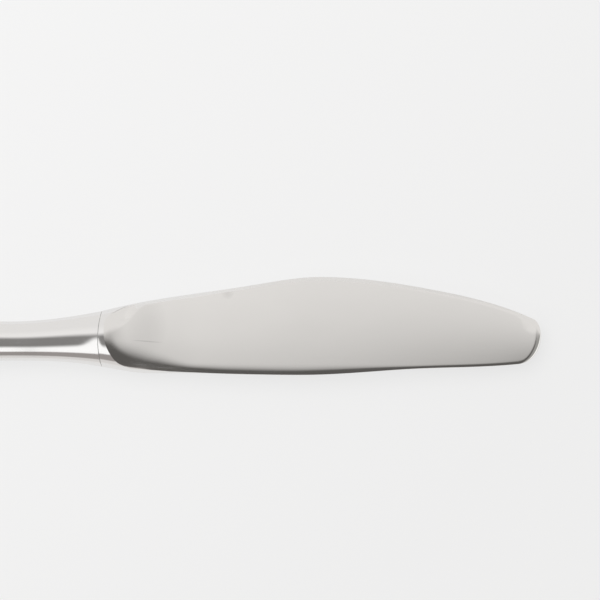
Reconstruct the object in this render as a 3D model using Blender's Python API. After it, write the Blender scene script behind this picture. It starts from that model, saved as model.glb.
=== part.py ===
"""Dinner knife with a hollow handle.

A forged blade runs through its bolster into a spigot and a notched tang. The tang is set in cement
inside a handle of two pressed shells, which are soldered together edge to edge.
The knife lies on its side: +X points to the tip, +Y to the cutting edge and +Z up.
Every function works in the knife's own frame: x = 0 at the joint between bolster and handle,
y = 0 on the handle's axis and z = 0 half way through the thickness. Lengths are in metres.
"""
import math

import bmesh
import bpy
from mathutils import Vector

MM = 0.001

# Cutting edge: distances from the joint, heights above the axis, slopes as rise over run
BLADE_LENGTH = 90.0 * MM
JOINT_EDGE_HEIGHT = 6.0 * MM
JOINT_EDGE_SLOPE = 0.26
CROWN_DISTANCE = 45.0 * MM
CROWN_HEIGHT = 13.05 * MM
RISE_BEFORE_CROWN = 15.0 * MM
RISE_DROP = 1.8 * MM
RISE_SLOPE = 0.157
FALL_AFTER_CROWN = 21.0 * MM
FALL_DROP = 2.15 * MM
FALL_SLOPE = -0.183

# Spine: depths below the axis
JOINT_SPINE_DEPTH = 5.15 * MM
JOINT_SPINE_SLOPE = -0.16
SHOULDER_DISTANCE = 14.0 * MM
SHOULDER_DEPTH = 6.38 * MM
SHOULDER_SLOPE = -0.025
SPINE_DISTANCE = 40.0 * MM
SPINE_DEPTH = 6.92 * MM
SPINE_RISE_AFTER = 18.0 * MM
SPINE_RISE = 0.57 * MM
SPINE_RISE_SLOPE = 0.045

# Tip: both corners measured back from the end of the blade, a reach is how far a curve holds its heading
TIP_EDGE_BACK = 1.5 * MM
TIP_EDGE_HEIGHT = 4.45 * MM
TIP_EDGE_SLOPE = -0.46
TIP_EDGE_REACH = 1.1 * MM
TIP_SPINE_BACK = 4.8 * MM
TIP_SPINE_DEPTH = 4.72 * MM
TIP_SPINE_SLOPE = 0.1
TIP_SPINE_REACH = 3.2 * MM
TIP_HEIGHT = 1.2 * MM

# Heel: the line where the ground flats leave the oval bolster, its heights as shares from spine to edge
HEEL_DISTANCE = 1.1 * MM
HEEL_SHARE = 0.64
HEEL_SPINE_REACH = 11.0 * MM
HEEL_SPINE_SQUARENESS = 5.5
HEEL_EDGE_REACH = 3.0 * MM
HEEL_EDGE_SQUARENESS = 5.0
RAMP_LENGTH = 4.5 * MM

# Blade thickness: a flat-ground wedge that flares at the heel
HEEL_THICKNESS = 3.52 * MM
TIP_THICKNESS = 1.06 * MM
CROWN_THICKNESS = 0.72 * MM
EDGE_THICKNESS = 0.24 * MM
EDGE_GRIND = 0.7 * MM
EDGE_FADE = 10.0 * MM
FLARE_THICKNESS = 1.6 * MM
FLARE_LENGTH = 15.0 * MM

# Rounding of the blade's rim along the spine, at the tip and behind the cutting edge
SHOULDER_ROUND = 3.6 * MM
SPINE_ROUND = 2.0 * MM
ROUND_FADE_START = 8.0 * MM
ROUND_FADE_END = 20.0 * MM
TIP_ROUND = 1.0 * MM
EDGE_HEEL_ROUND = 1.3 * MM
RIM_FLAT = 0.2 * MM

# Bolster: an oval that widens from the joint to its crest at the heel line and thins along the spine
BOLSTER_THICKNESS = 6.2 * MM
CREST_THICKNESS = 6.5 * MM
TONGUE_LENGTH = 18.0 * MM
TONGUE_THICKNESS = 5.0 * MM
TONGUE_SLOPE = -0.06

# Handle
HANDLE_LENGTH = 115.0 * MM
NECK_DISTANCE = 18.0 * MM
NECK_HEIGHT = 8.0 * MM
NECK_THICKNESS = 5.0 * MM
MOUTH_HEIGHT_SLOPE = 0.19
MOUTH_THICKNESS_SLOPE = 0.12
BUTT_LENGTH = 19.0 * MM
SWELL_HEIGHT = 14.0 * MM
SWELL_THICKNESS = 8.0 * MM
MOUTH_ROUNDNESS = 2.0
SWELL_ROUNDNESS = 2.5
WALL = 0.5 * MM

# Spigot and tang
SPIGOT_LENGTH = 4.0 * MM
TANG_LENGTH = 58.0 * MM
TANG_ROOT_HEIGHT = 4.0 * MM
TANG_ROOT_THICKNESS = 1.5 * MM
TANG_END_HEIGHT = 2.2 * MM
TANG_END_THICKNESS = 1.1 * MM
TANG_CHAMFER = 0.3 * MM
NOTCH_FROM_END = 8.0 * MM
NOTCH_SPACING = 9.0 * MM
NOTCH_COUNT = 3
NOTCH_WIDTH = 3.0 * MM
NOTCH_DEPTH = 0.45 * MM

# Fits
JOINT_GAP = 0.3 * MM
SPIGOT_GAP = 0.3 * MM
CEMENT_GAP = 0.3 * MM
TANG_GAP = 0.3 * MM
SOLDER_THICKNESS = 0.25 * MM
SOLDER_GAP = 0.1 * MM

# Places and widths that follow from the sizes above
SEAM = SOLDER_THICKNESS + 2.0 * SOLDER_GAP
SWELL_DISTANCE = HANDLE_LENGTH - BUTT_LENGTH

# Facets, with the shares of the height that the bolster's level crest and the fine facets by the edge take
LONG_STEPS = 40
TIP_STEPS = 5
SPINE_STEPS = 9
FLAT_STEPS = 6
EDGE_STEPS = 4
CREST_BAND = 0.2
EDGE_BAND = 0.12
BOLSTER_STEPS = 3
CURVE_STEPS = 12
BORDER_STEPS = 60
SECTION_STEPS = 13
NECK_STEPS = 8
GRIP_STEPS = 14
BUTT_STEPS = 9
END_CROWDING = 0.6
SHARP_ANGLE = math.radians(30.0)


def lerp(start, end, share):
    """Value a share of the way from start to end."""
    return start + (end - start) * share


def ease(value, start, end):
    """Smooth step from 0 at start to 1 at end."""
    share = min(max((value - start) / (end - start), 0.0), 1.0)
    return share * share * (3.0 - 2.0 * share)


def spline(knots, x):
    """Height at x of a smooth curve through knots of (x, height, slope)."""
    spans = list(zip(knots, knots[1:]))
    start, end = next((span for span in spans if x <= span[1][0]), spans[-1])
    run = end[0] - start[0]
    t = (x - start[0]) / run
    rise = (3.0 - 2.0 * t) * t * t
    return (
        lerp(start[1], end[1], rise)
        + run * start[2] * t * (1.0 - t) ** 2
        - run * end[2] * t * t * (1.0 - t)
    )


def bezier(start, leave, arrive, end):
    """Points of a cubic curve, without its last point."""
    points = []
    for step in range(CURVE_STEPS):
        t = step / CURVE_STEPS
        s = 1.0 - t
        points.append(s ** 3 * start + 3 * s * s * t * leave + 3 * s * t * t * arrive + t ** 3 * end)
    return points


def heading(slope):
    """Unit vector along +x with a slope."""
    return Vector((1.0, slope)).normalized()


def edge_y(x):
    """Height of the cutting edge."""
    return spline((
        (0.0, JOINT_EDGE_HEIGHT, JOINT_EDGE_SLOPE),
        (CROWN_DISTANCE - RISE_BEFORE_CROWN, CROWN_HEIGHT - RISE_DROP, RISE_SLOPE),
        (CROWN_DISTANCE, CROWN_HEIGHT, 0.0),
        (CROWN_DISTANCE + FALL_AFTER_CROWN, CROWN_HEIGHT - FALL_DROP, FALL_SLOPE),
        (BLADE_LENGTH - TIP_EDGE_BACK, TIP_EDGE_HEIGHT, TIP_EDGE_SLOPE),
    ), x)


def spine_y(x):
    """Height of the spine, below the axis."""
    return spline((
        (0.0, -JOINT_SPINE_DEPTH, JOINT_SPINE_SLOPE),
        (SHOULDER_DISTANCE, -SHOULDER_DEPTH, SHOULDER_SLOPE),
        (SPINE_DISTANCE, -SPINE_DEPTH, 0.0),
        (SPINE_DISTANCE + SPINE_RISE_AFTER, SPINE_RISE - SPINE_DEPTH, SPINE_RISE_SLOPE),
        (BLADE_LENGTH - TIP_SPINE_BACK, -TIP_SPINE_DEPTH, TIP_SPINE_SLOPE),
    ), x)


def face_half(x, y):
    """Half thickness of the blade between its two flats."""
    middle = lerp(HEEL_THICKNESS, TIP_THICKNESS, x / BLADE_LENGTH)
    at_crown = lerp(HEEL_THICKNESS, TIP_THICKNESS, CROWN_DISTANCE / BLADE_LENGTH)
    wedge = (at_crown - CROWN_THICKNESS) / CROWN_HEIGHT
    flare = FLARE_THICKNESS * max(0.0, 1.0 - x / FLARE_LENGTH) ** 2
    return (middle - wedge * y + flare) / 2.0


def tip_line():
    """End of the blade from the spine's corner round to the edge's."""
    edge_end = BLADE_LENGTH - TIP_EDGE_BACK
    spine_end = BLADE_LENGTH - TIP_SPINE_BACK
    tip = Vector((BLADE_LENGTH, TIP_HEIGHT))
    edge_corner = Vector((edge_end, edge_y(edge_end)))
    spine_corner = Vector((spine_end, spine_y(spine_end)))
    up = Vector((0.0, 1.0))
    lower = bezier(
        spine_corner, spine_corner + heading(TIP_SPINE_SLOPE) * TIP_SPINE_REACH,
        tip - up * TIP_SPINE_REACH, tip)
    upper = bezier(
        tip, tip + up * TIP_EDGE_REACH,
        edge_corner + heading(TIP_EDGE_SLOPE) * TIP_EDGE_REACH, edge_corner)
    return lower + upper + [edge_corner]


def run_along(curve, start, end, shares):
    """Points of a height function at shares of the way from one distance to another."""
    return [Vector((x, curve(x))) for x in (lerp(start, end, share) for share in shares)]


def resample(points, shares):
    """Points at shares of a polyline's length."""
    reach = [0.0]
    for start, end in zip(points, points[1:]):
        reach.append(reach[-1] + (end - start).length)
    samples = []
    span = 0
    for share in shares:
        wanted = share * reach[-1]
        while span < len(points) - 2 and reach[span + 1] < wanted:
            span += 1
        part = (wanted - reach[span]) / (reach[span + 1] - reach[span])
        samples.append(points[span].lerp(points[span + 1], part))
    return samples


def rim_of(point, on_edge):
    """Point of the border with the depth of the rounding there and half the thickness of its rim."""
    if on_edge:
        from_heel = ease(point.x, 0.0, EDGE_FADE)
        to_tip = ease(point.x, BLADE_LENGTH, BLADE_LENGTH - EDGE_FADE)
        blunt = lerp(EDGE_HEEL_ROUND, TIP_ROUND, point.x / BLADE_LENGTH)
        sharp = from_heel * to_tip
        return point, lerp(blunt, EDGE_GRIND, sharp), lerp(RIM_FLAT, EDGE_THICKNESS, sharp) / 2.0
    shoulder = lerp(SHOULDER_ROUND, SPINE_ROUND, ease(point.x, ROUND_FADE_START, ROUND_FADE_END))
    to_tip = max(0.0, point.x - ROUND_FADE_END) / (BLADE_LENGTH - ROUND_FADE_END)
    return point, lerp(shoulder, TIP_ROUND, to_tip), RIM_FLAT / 2.0


def blade_border():
    """Border from the joint along the spine, round the tip and back along the edge, with its rim."""
    shares = [step / BORDER_STEPS for step in range(BORDER_STEPS + 1)]
    spine = run_along(spine_y, 0.0, BLADE_LENGTH - TIP_SPINE_BACK, shares)
    edge = run_along(edge_y, BLADE_LENGTH - TIP_EDGE_BACK, 0.0, shares)
    blunt = [rim_of(point, False) for point in spine + tip_line()[1:-1]]
    return blunt + [rim_of(point, True) for point in edge]


def ground_half(place, border):
    """Half thickness of the ground blade, which rounds over to the nearest rim."""
    reach = 1.0
    nearest = RIM_FLAT / 2.0
    for (start, start_depth, start_rim), (end, end_depth, end_rim) in zip(border, border[1:]):
        along = end - start
        part = min(max((place - start).dot(along) / along.length_squared, 0.0), 1.0)
        away = (place - start.lerp(end, part)).length / lerp(start_depth, end_depth, part)
        if away < reach:
            reach = away
            nearest = lerp(start_rim, end_rim, part)
    return lerp(nearest, face_half(*place), math.sqrt(1.0 - (1.0 - reach) ** 2))


def bolster_half(x, share):
    """Half thickness of the oval bolster at a share of the height from spine to edge."""
    crest = spline((
        (0.0, BOLSTER_THICKNESS / 2.0, MOUTH_THICKNESS_SLOPE),
        (HEEL_DISTANCE, CREST_THICKNESS / 2.0, 0.0),
        (TONGUE_LENGTH, TONGUE_THICKNESS / 2.0, TONGUE_SLOPE)), min(x, TONGUE_LENGTH))
    return lerp(RIM_FLAT / 2.0, crest, 2.0 * math.sqrt(share * (1.0 - share)))


def heel_x(share):
    """Distance of the heel line from the joint at a share of the height from spine to edge."""
    if share < HEEL_SHARE:
        away = 1.0 - share / HEEL_SHARE
        return HEEL_DISTANCE + HEEL_SPINE_REACH * away ** HEEL_SPINE_SQUARENESS
    away = (share - HEEL_SHARE) / (1.0 - HEEL_SHARE)
    return HEEL_DISTANCE + HEEL_EDGE_REACH * away ** HEEL_EDGE_SQUARENESS


def body_point(x, share):
    """Point of the side view at a distance from the joint and a share of the height there."""
    return Vector((x, lerp(spine_y(x), edge_y(x), share)))


def height_shares():
    """Shares of the height from spine to edge, closer together towards both, with a level crest between."""
    quarter = math.pi / 2.0
    below = (1.0 - CREST_BAND) / 2.0
    above = (1.0 + CREST_BAND) / 2.0
    spine = [below * (1.0 - math.cos(quarter * step / SPINE_STEPS)) for step in range(SPINE_STEPS + 1)]
    flat = [lerp(above, 1.0 - EDGE_BAND, step / FLAT_STEPS) for step in range(FLAT_STEPS)]
    edge = [1.0 - EDGE_BAND * (1.0 - math.sin(quarter * step / EDGE_STEPS)) for step in range(EDGE_STEPS)]
    return spine + flat + edge + [1.0]


def length_shares():
    """Shares of the length from heel to tip, closer together towards both and finest round the tip."""
    tip_band = TIP_ROUND / BLADE_LENGTH
    shares = []
    for step in range(1, LONG_STEPS):
        turn = math.tau * step / LONG_STEPS
        shares.append((1.0 - tip_band) * (turn - END_CROWDING * math.sin(turn)) / math.tau)
    for step in range(TIP_STEPS + 1):
        shares.append(1.0 - tip_band * (1.0 - math.sin(math.pi / 2.0 * step / TIP_STEPS)))
    return shares


def oval_row(x, section, shares):
    """Upper half of an oval section as (x, y, half thickness)."""
    middle, half_height, half_thickness, _ = section
    row = []
    for share in shares:
        height = middle + half_height * (2.0 * share - 1.0)
        swell = 2.0 * math.sqrt(share * (1.0 - share))
        row.append((x, height, lerp(RIM_FLAT / 2.0, half_thickness, swell)))
    return row


def bolster_rows(shares):
    """Rows (x, y, half thickness) of the spigot and of the bolster from the joint to the heel line."""
    inset = WALL + SPIGOT_GAP
    rows = [
        oval_row(-SPIGOT_LENGTH, handle_section(SPIGOT_LENGTH, inset), shares),
        oval_row(0.0, handle_section(0.0, inset), shares),
    ]
    for step in range(BOLSTER_STEPS + 1):
        places = [body_point(heel_x(share) * step / BOLSTER_STEPS, share) for share in shares]
        rows.append([(*place, bolster_half(place.x, share)) for place, share in zip(places, shares)])
    return rows


def blade_rows(shares):
    """Rows of the blade from just past the heel line to the tip, blended between its four borders."""
    lengths = length_shares()
    heel = [body_point(heel_x(share), share) for share in shares]
    tip = resample(tip_line(), shares)
    spine = run_along(spine_y, heel[0].x, tip[0].x, lengths)
    edge = run_along(edge_y, heel[-1].x, tip[-1].x, lengths)
    border = blade_border()
    rows = []
    for along, low, high in zip(lengths, spine, edge):
        row = []
        for share, start, end in zip(shares, heel, tip):
            corners = heel[0].lerp(tip[0], along).lerp(heel[-1].lerp(tip[-1], along), share)
            place = low.lerp(high, share) + start.lerp(end, along) - corners
            bottom = spine_y(place.x)
            rise = min(max((place.y - bottom) / (edge_y(place.x) - bottom), 0.0), 1.0)
            left = max(0.0, 1.0 - (place - start).length / RAMP_LENGTH)
            half = lerp(ground_half(place, border), bolster_half(place.x, rise), left * left)
            row.append((*place, half))
        rows.append(row)
    return rows


def bridge(bm, first, second):
    """Quads between two closed rings of vertices."""
    for step in range(len(first)):
        following = (step + 1) % len(first)
        bm.faces.new((first[step], first[following], second[following], second[step]))


def blade_mesh():
    """Blade and bolster in one loft, flat behind the spigot and closed along the rim of the tip."""
    shares = height_shares()
    bm = bmesh.new()
    loops = []
    for row in bolster_rows(shares) + blade_rows(shares):
        upper = [bm.verts.new(point) for point in row]
        lower = [bm.verts.new((x, y, -half)) for x, y, half in row]
        loops.append(upper + lower[::-1])
    for first, second in zip(loops, loops[1:]):
        bridge(bm, first, second)
    bm.faces.new(loops[0])
    last = loops[-1]
    for step in range(len(shares) - 1):
        bm.faces.new((last[step], last[step + 1], last[-2 - step], last[-1 - step]))
    return bm


def signed_power(value, power):
    """Power of a value that keeps its sign."""
    return math.copysign(abs(value) ** power, value)


def arc(middle, half_height, half_thickness, roundness, steps):
    """Half an oval as (y, z) points, from the edge side over the broad side to the spine side."""
    points = []
    for step in range(steps + 1):
        angle = math.pi * step / steps
        points.append((
            middle + half_height * signed_power(math.cos(angle), 2.0 / roundness),
            half_thickness * signed_power(math.sin(angle), 2.0 / roundness)))
    return points


def oval(x, middle, half_height, half_thickness, roundness):
    """Ring of points round an oval, with a level facet on each broad side."""
    upper = arc(middle, half_height, half_thickness, roundness, SECTION_STEPS)
    lower = [(y, -z) for y, z in upper[-2:0:-1]]
    return [(x, y, z) for y, z in upper + lower]


def loft(rings):
    """Closed body through rings of points, capped flat at both ends."""
    bm = bmesh.new()
    loops = [[bm.verts.new(point) for point in ring] for ring in rings]
    for first, second in zip(loops, loops[1:]):
        bridge(bm, first, second)
    bm.faces.new(loops[0])
    bm.faces.new(loops[-1])
    return bm


def handle_section(distance, inset):
    """Oval of the handle at a distance behind the joint, drawn in by an inset."""
    half_neck = NECK_HEIGHT / 2.0
    half_swell = SWELL_HEIGHT / 2.0
    top = spline((
        (0.0, JOINT_EDGE_HEIGHT, -MOUTH_HEIGHT_SLOPE),
        (NECK_DISTANCE, half_neck, 0.0),
        (SWELL_DISTANCE, half_swell, 0.0)), distance)
    bottom = spline((
        (0.0, -JOINT_SPINE_DEPTH, MOUTH_HEIGHT_SLOPE),
        (NECK_DISTANCE, -half_neck, 0.0),
        (SWELL_DISTANCE, -half_swell, 0.0)), distance)
    thickness = spline((
        (0.0, BOLSTER_THICKNESS, -2.0 * MOUTH_THICKNESS_SLOPE),
        (NECK_DISTANCE, NECK_THICKNESS, 0.0),
        (SWELL_DISTANCE, SWELL_THICKNESS, 0.0)), distance)
    roundness = lerp(MOUTH_ROUNDNESS, SWELL_ROUNDNESS, ease(distance, 0.0, SWELL_DISTANCE))
    return (top + bottom) / 2.0, (top - bottom) / 2.0 - inset, thickness / 2.0 - inset, roundness


def handle_sections(start, inset, lift):
    """Sections (x, middle, half height, half thickness above a lift, roundness) from start to the butt."""
    distances = [lerp(start, NECK_DISTANCE, step / NECK_STEPS) for step in range(NECK_STEPS)]
    distances += [lerp(NECK_DISTANCE, SWELL_DISTANCE, step / GRIP_STEPS) for step in range(GRIP_STEPS)]
    sections = []
    for distance in distances:
        middle, half_height, half_thickness, roundness = handle_section(distance, inset)
        sections.append((-distance, middle, half_height, half_thickness - lift, roundness))
    middle, half_height, half_thickness, roundness = handle_section(SWELL_DISTANCE, inset)
    butt = BUTT_LENGTH - inset
    for step in range(BUTT_STEPS + 1):
        angle = math.pi / 2.0 * step / BUTT_STEPS
        closing = math.cos(angle)
        sections.append((
            -SWELL_DISTANCE - butt * math.sin(angle), middle,
            half_height * closing, (half_thickness - lift) * closing, roundness))
    return sections


def tang_ring(distance, grow, notch):
    """Chamfered bar section of the tang, grown all round for its slot or notched top and bottom."""
    share = (distance - SPIGOT_LENGTH) / (TANG_LENGTH - SPIGOT_LENGTH)
    high = lerp(TANG_ROOT_HEIGHT, TANG_END_HEIGHT, share) / 2.0 + grow - notch
    thick = lerp(TANG_ROOT_THICKNESS, TANG_END_THICKNESS, share) / 2.0 + grow
    corner = ((high, thick - TANG_CHAMFER), (high - TANG_CHAMFER, thick))
    quarter = [(1, 1, 1), (-1, 1, -1), (-1, -1, 1), (1, -1, -1)]
    return [
        (-distance, across * y, up * z)
        for across, up, order in quarter
        for y, z in corner[::order]
    ]


def tang_mesh():
    """Tang with notches that key it in the cement."""
    stations = [(SPIGOT_LENGTH / 2.0, 0.0)]
    for number in reversed(range(NOTCH_COUNT)):
        centre = TANG_LENGTH - NOTCH_FROM_END - NOTCH_SPACING * number
        stations += [
            (centre - NOTCH_WIDTH / 2.0, 0.0), (centre, NOTCH_DEPTH), (centre + NOTCH_WIDTH / 2.0, 0.0)]
    stations.append((TANG_LENGTH, 0.0))
    return loft([tang_ring(distance, 0.0, notch) for distance, notch in stations])


def slot_mesh():
    """Space that the tang takes out of the cement, open at the handle's mouth."""
    ends = (SPIGOT_LENGTH, TANG_LENGTH + TANG_GAP)
    return loft([tang_ring(distance, TANG_GAP, 0.0) for distance in ends])


def cement_mesh():
    """Cement that fills the shells behind the spigot, flat at its far end."""
    sections = handle_sections(SPIGOT_LENGTH + SPIGOT_GAP, WALL + CEMENT_GAP, 0.0)
    return loft([oval(*section) for section in sections[:-1]])


def add_strip(bm, first, second):
    """Faces between two open lines of vertices, with triangles where they share one."""
    for step in range(len(first) - 1):
        corners = (first[step], first[step + 1], second[step + 1], second[step])
        bm.faces.new(dict.fromkeys(corners))


def shell_mesh(side):
    """One pressed half of the handle, above (1) or below (-1) the seam, open at the mouth."""
    bm = bmesh.new()
    seam_z = SEAM / 2.0
    walls = []
    for inset in (0.0, WALL):
        *sections, butt = handle_sections(JOINT_GAP, inset, seam_z)
        rows = []
        for x, *section in sections:
            points = arc(*section, SECTION_STEPS)
            rows.append([bm.verts.new((x, y, side * (seam_z + z))) for y, z in points])
        pole = bm.verts.new((butt[0], butt[1], side * seam_z))
        rows.append([pole] * (SECTION_STEPS + 1))
        for first, second in zip(rows, rows[1:]):
            add_strip(bm, first, second)
        walls.append(rows)
    outer, inner = walls
    add_strip(bm, outer[0], inner[0])
    for end in (0, -1):
        add_strip(bm, [row[end] for row in outer], [row[end] for row in inner])
    return bm


def rim_line(inset):
    """Points (x, y) round the seam from the mouth on the edge side to the mouth on the spine side."""
    *sections, butt = handle_sections(JOINT_GAP, inset, SEAM / 2.0)
    top = [(x, middle + half_height) for x, middle, half_height, *_ in sections]
    bottom = [(x, middle - half_height) for x, middle, half_height, *_ in sections]
    return top + [butt[:2]] + bottom[::-1]


def solder_mesh():
    """Solder between the shells, as wide as their wall."""
    half = SOLDER_THICKNESS / 2.0
    rings = []
    for (outer_x, outer_y), (inner_x, inner_y) in zip(rim_line(0.0), rim_line(WALL)):
        rings.append((
            (outer_x, outer_y, half), (inner_x, inner_y, half),
            (inner_x, inner_y, -half), (outer_x, outer_y, -half)))
    return loft(rings)


def finish(name, colour, roughness, metallic):
    """Material with the piece's colour and gloss."""
    material = bpy.data.materials.new(name)
    material.use_nodes = True
    shader = material.node_tree.nodes["Principled BSDF"]
    shader.inputs["Base Color"].default_value = (*colour, 1.0)
    shader.inputs["Roughness"].default_value = roughness
    shader.inputs["Metallic"].default_value = metallic
    return material


def add_piece(name, bm, knife, material=None):
    """Object made from a mesh under the knife's empty, without a material where it only shapes another."""
    bmesh.ops.recalc_face_normals(bm, faces=bm.faces)
    mesh = bpy.data.meshes.new(name)
    bm.to_mesh(mesh)
    bm.free()
    mesh.shade_smooth()
    mesh.set_sharp_from_angle(angle=SHARP_ANGLE)
    piece = bpy.data.objects.new(name, mesh)
    bpy.context.scene.collection.objects.link(piece)
    piece.parent = knife
    if material:
        mesh.materials.append(material)
    else:
        piece.hide_render = True
        piece.display_type = "WIRE"
    return piece


def combine(piece, tool, operation):
    """Join a tool to a piece, or cut it out of it."""
    modifier = piece.modifiers.new(tool.name, "BOOLEAN")
    modifier.object = tool
    modifier.operation = operation
    modifier.solver = "EXACT"


def add_knife():
    """Empty that carries the pieces, with the knife's box centred over the origin and resting on it."""
    knife = bpy.data.objects.new("knife", None)
    lowest = min(-SWELL_HEIGHT / 2.0, -SPINE_DEPTH)
    knife.location = (
        (HANDLE_LENGTH - BLADE_LENGTH) / 2.0,
        -(CROWN_HEIGHT + lowest) / 2.0,
        max(SWELL_THICKNESS, CREST_THICKNESS) / 2.0)
    bpy.context.scene.collection.objects.link(knife)
    return knife


def main():
    """Clear the scene and model the knife."""
    for leftover in list(bpy.data.objects):
        bpy.data.objects.remove(leftover)
    satin_steel = finish("satin_steel", (0.66, 0.64, 0.62), 0.32, 1.0)
    polished_steel = finish("polished_steel", (0.78, 0.77, 0.76), 0.08, 1.0)
    solder = finish("bright_solder", (0.62, 0.62, 0.61), 0.3, 1.0)
    cement = finish("grey_cement", (0.42, 0.4, 0.37), 0.9, 0.0)

    knife = add_knife()
    blade = add_piece("blade", blade_mesh(), knife, satin_steel)
    combine(blade, add_piece("tang_stock", tang_mesh(), knife), "UNION")
    add_piece("front_handle_shell", shell_mesh(1.0), knife, polished_steel)
    add_piece("back_handle_shell", shell_mesh(-1.0), knife, polished_steel)
    add_piece("seam_solder", solder_mesh(), knife, solder)
    filler = add_piece("tang_cement", cement_mesh(), knife, cement)
    combine(filler, add_piece("tang_slot", slot_mesh(), knife), "DIFFERENCE")


if __name__ == "__main__":
    main()
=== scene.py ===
"""Looks of a dinner knife with a forged blade and a hollow handle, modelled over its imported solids.

Shapes are worked out in the knife's own frame: x runs from the joint between bolster and handle to the
tip, y from the spine to the cutting edge and z through the thickness. Lengths are in metres.
"""
import math

import bpy
import numpy as np
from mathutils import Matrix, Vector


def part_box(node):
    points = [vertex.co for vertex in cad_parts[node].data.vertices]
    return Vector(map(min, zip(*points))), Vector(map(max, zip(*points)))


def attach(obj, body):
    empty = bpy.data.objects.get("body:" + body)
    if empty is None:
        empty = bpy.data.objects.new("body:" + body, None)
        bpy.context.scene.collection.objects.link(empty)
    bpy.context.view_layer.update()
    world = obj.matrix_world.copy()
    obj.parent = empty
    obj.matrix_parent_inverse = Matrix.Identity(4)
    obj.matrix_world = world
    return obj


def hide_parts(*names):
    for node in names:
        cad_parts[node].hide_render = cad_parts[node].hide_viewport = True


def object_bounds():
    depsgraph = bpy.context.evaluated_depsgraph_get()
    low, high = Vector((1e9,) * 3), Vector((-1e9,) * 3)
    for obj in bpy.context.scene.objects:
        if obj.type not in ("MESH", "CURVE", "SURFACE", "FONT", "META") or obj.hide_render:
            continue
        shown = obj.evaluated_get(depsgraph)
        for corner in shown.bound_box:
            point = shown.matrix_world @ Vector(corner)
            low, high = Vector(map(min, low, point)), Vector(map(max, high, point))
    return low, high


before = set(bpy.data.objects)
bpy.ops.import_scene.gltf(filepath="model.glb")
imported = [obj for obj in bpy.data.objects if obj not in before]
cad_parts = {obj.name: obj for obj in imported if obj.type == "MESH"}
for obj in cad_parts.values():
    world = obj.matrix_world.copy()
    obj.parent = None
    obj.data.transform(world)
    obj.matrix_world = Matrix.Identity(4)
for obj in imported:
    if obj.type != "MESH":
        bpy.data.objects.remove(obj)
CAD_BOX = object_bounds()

bl_info = {
    "name": "Dinner Knife",
    "version": (1, 0, 0),
    "blender": (4, 5, 0),
    "location": "3D View > Sidebar > Knife",
    "description": "Models the finished pieces of a hollow-handled dinner knife and lights them",
    "category": "Add Mesh",
}

MM = 0.001
QUARTER_TURN = math.pi / 2.0

# Places read from the solids
SHELL_LOW, SHELL_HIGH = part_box("front_handle_shell")
BLADE_LOW, BLADE_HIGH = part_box("blade")
JOINT_GAP = 0.3 * MM
JOINT_X = SHELL_HIGH.x + JOINT_GAP
AXIS_Y = (SHELL_LOW.y + SHELL_HIGH.y) / 2.0
MIDDLE_Z = (BLADE_LOW.z + BLADE_HIGH.z) / 2.0
ORIGIN = (JOINT_X, AXIS_Y, MIDDLE_Z)

# Cutting edge between the sizes that can be set
JOINT_EDGE_SLOPE = 0.26
RISE_BEFORE_CROWN = 15.0 * MM
RISE_DROP = 1.88 * MM
RISE_SLOPE = 0.157
FALL_AFTER_CROWN = 21.0 * MM
FALL_DROP = 2.25 * MM
FALL_SLOPE = -0.183

# Spine
JOINT_SPINE_SLOPE = -0.17
SHOULDER_DISTANCE = 11.0 * MM
SHOULDER_DEPTH = 6.6 * MM
SHOULDER_SLOPE = 0.02
SPINE_DISTANCE = 40.0 * MM
SPINE_RISE_AFTER = 25.3 * MM
SPINE_RISE = 1.28 * MM
SPINE_RISE_SLOPE = 0.043

# Tip: both corners measured back from the end, a reach is how far a curve holds its heading
TIP_EDGE_BACK = 1.5 * MM
TIP_EDGE_HEIGHT = 4.45 * MM
TIP_EDGE_SLOPE = -0.46
TIP_EDGE_REACH = 1.1 * MM
TIP_SPINE_BACK = 4.8 * MM
TIP_SPINE_DEPTH = 4.72 * MM
TIP_SPINE_SLOPE = 0.1
TIP_SPINE_REACH = 3.2 * MM
TIP_HEIGHT = 1.2 * MM

# Heel line, its heights as shares from spine to edge
HEEL_DISTANCE = 1.3 * MM
HEEL_SHARE = 0.64
HEEL_TURN_REACH = 3.9 * MM
HEEL_TURN_SQUARENESS = 2.3
HEEL_TAIL_REACH = 20.0 * MM
HEEL_TAIL_SQUARENESS = 22.0
HEEL_EDGE_REACH = 5.5 * MM
HEEL_EDGE_SQUARENESS = 4.7
HEEL_STEP = 0.04 * MM
CREST_DISTANCE = 4.5 * MM
FLARE_LENGTH = 20.0 * MM
TONGUE_LENGTH = 18.0 * MM
TONGUE_THICKNESS = 5.0 * MM
TONGUE_SLOPE = -0.06
RAMP_STEEPNESS = 3

# Rounding of the rims
EDGE_FADE = 10.0 * MM
EDGE_HEEL_ROUND = 4.8 * MM
EDGE_TIP_ROUND = 3.5 * MM
EDGE_TIP_FADE = 4.5 * MM
ROUND_SOFTNESS = 3.0
TIP_SOFTNESS = 2.0
ROUND_START = 4.5 * MM
ROUND_END = 20.0 * MM
LAND_START = 3.0 * MM
LAND_END = 27.0 * MM
SPINE_TIP_ROUND = 0.82 * MM
SPINE_TIP_START = 43.0 * MM
SPINE_TIP_END = 67.0 * MM
TIP_ROUND = 1.35 * MM
TIP_START = 86.0 * MM
TIP_END = 89.8 * MM

# Joint: a hairline that bows back towards the handle over the broad sides
JOINT_HAIRLINE = 0.06 * MM
JOINT_SHIFT = 0.11 * MM
JOINT_BOW = 0.55 * MM
JOINT_FADE = 8.0 * MM
JOINT_ROUND = 0.03 * MM

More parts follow.
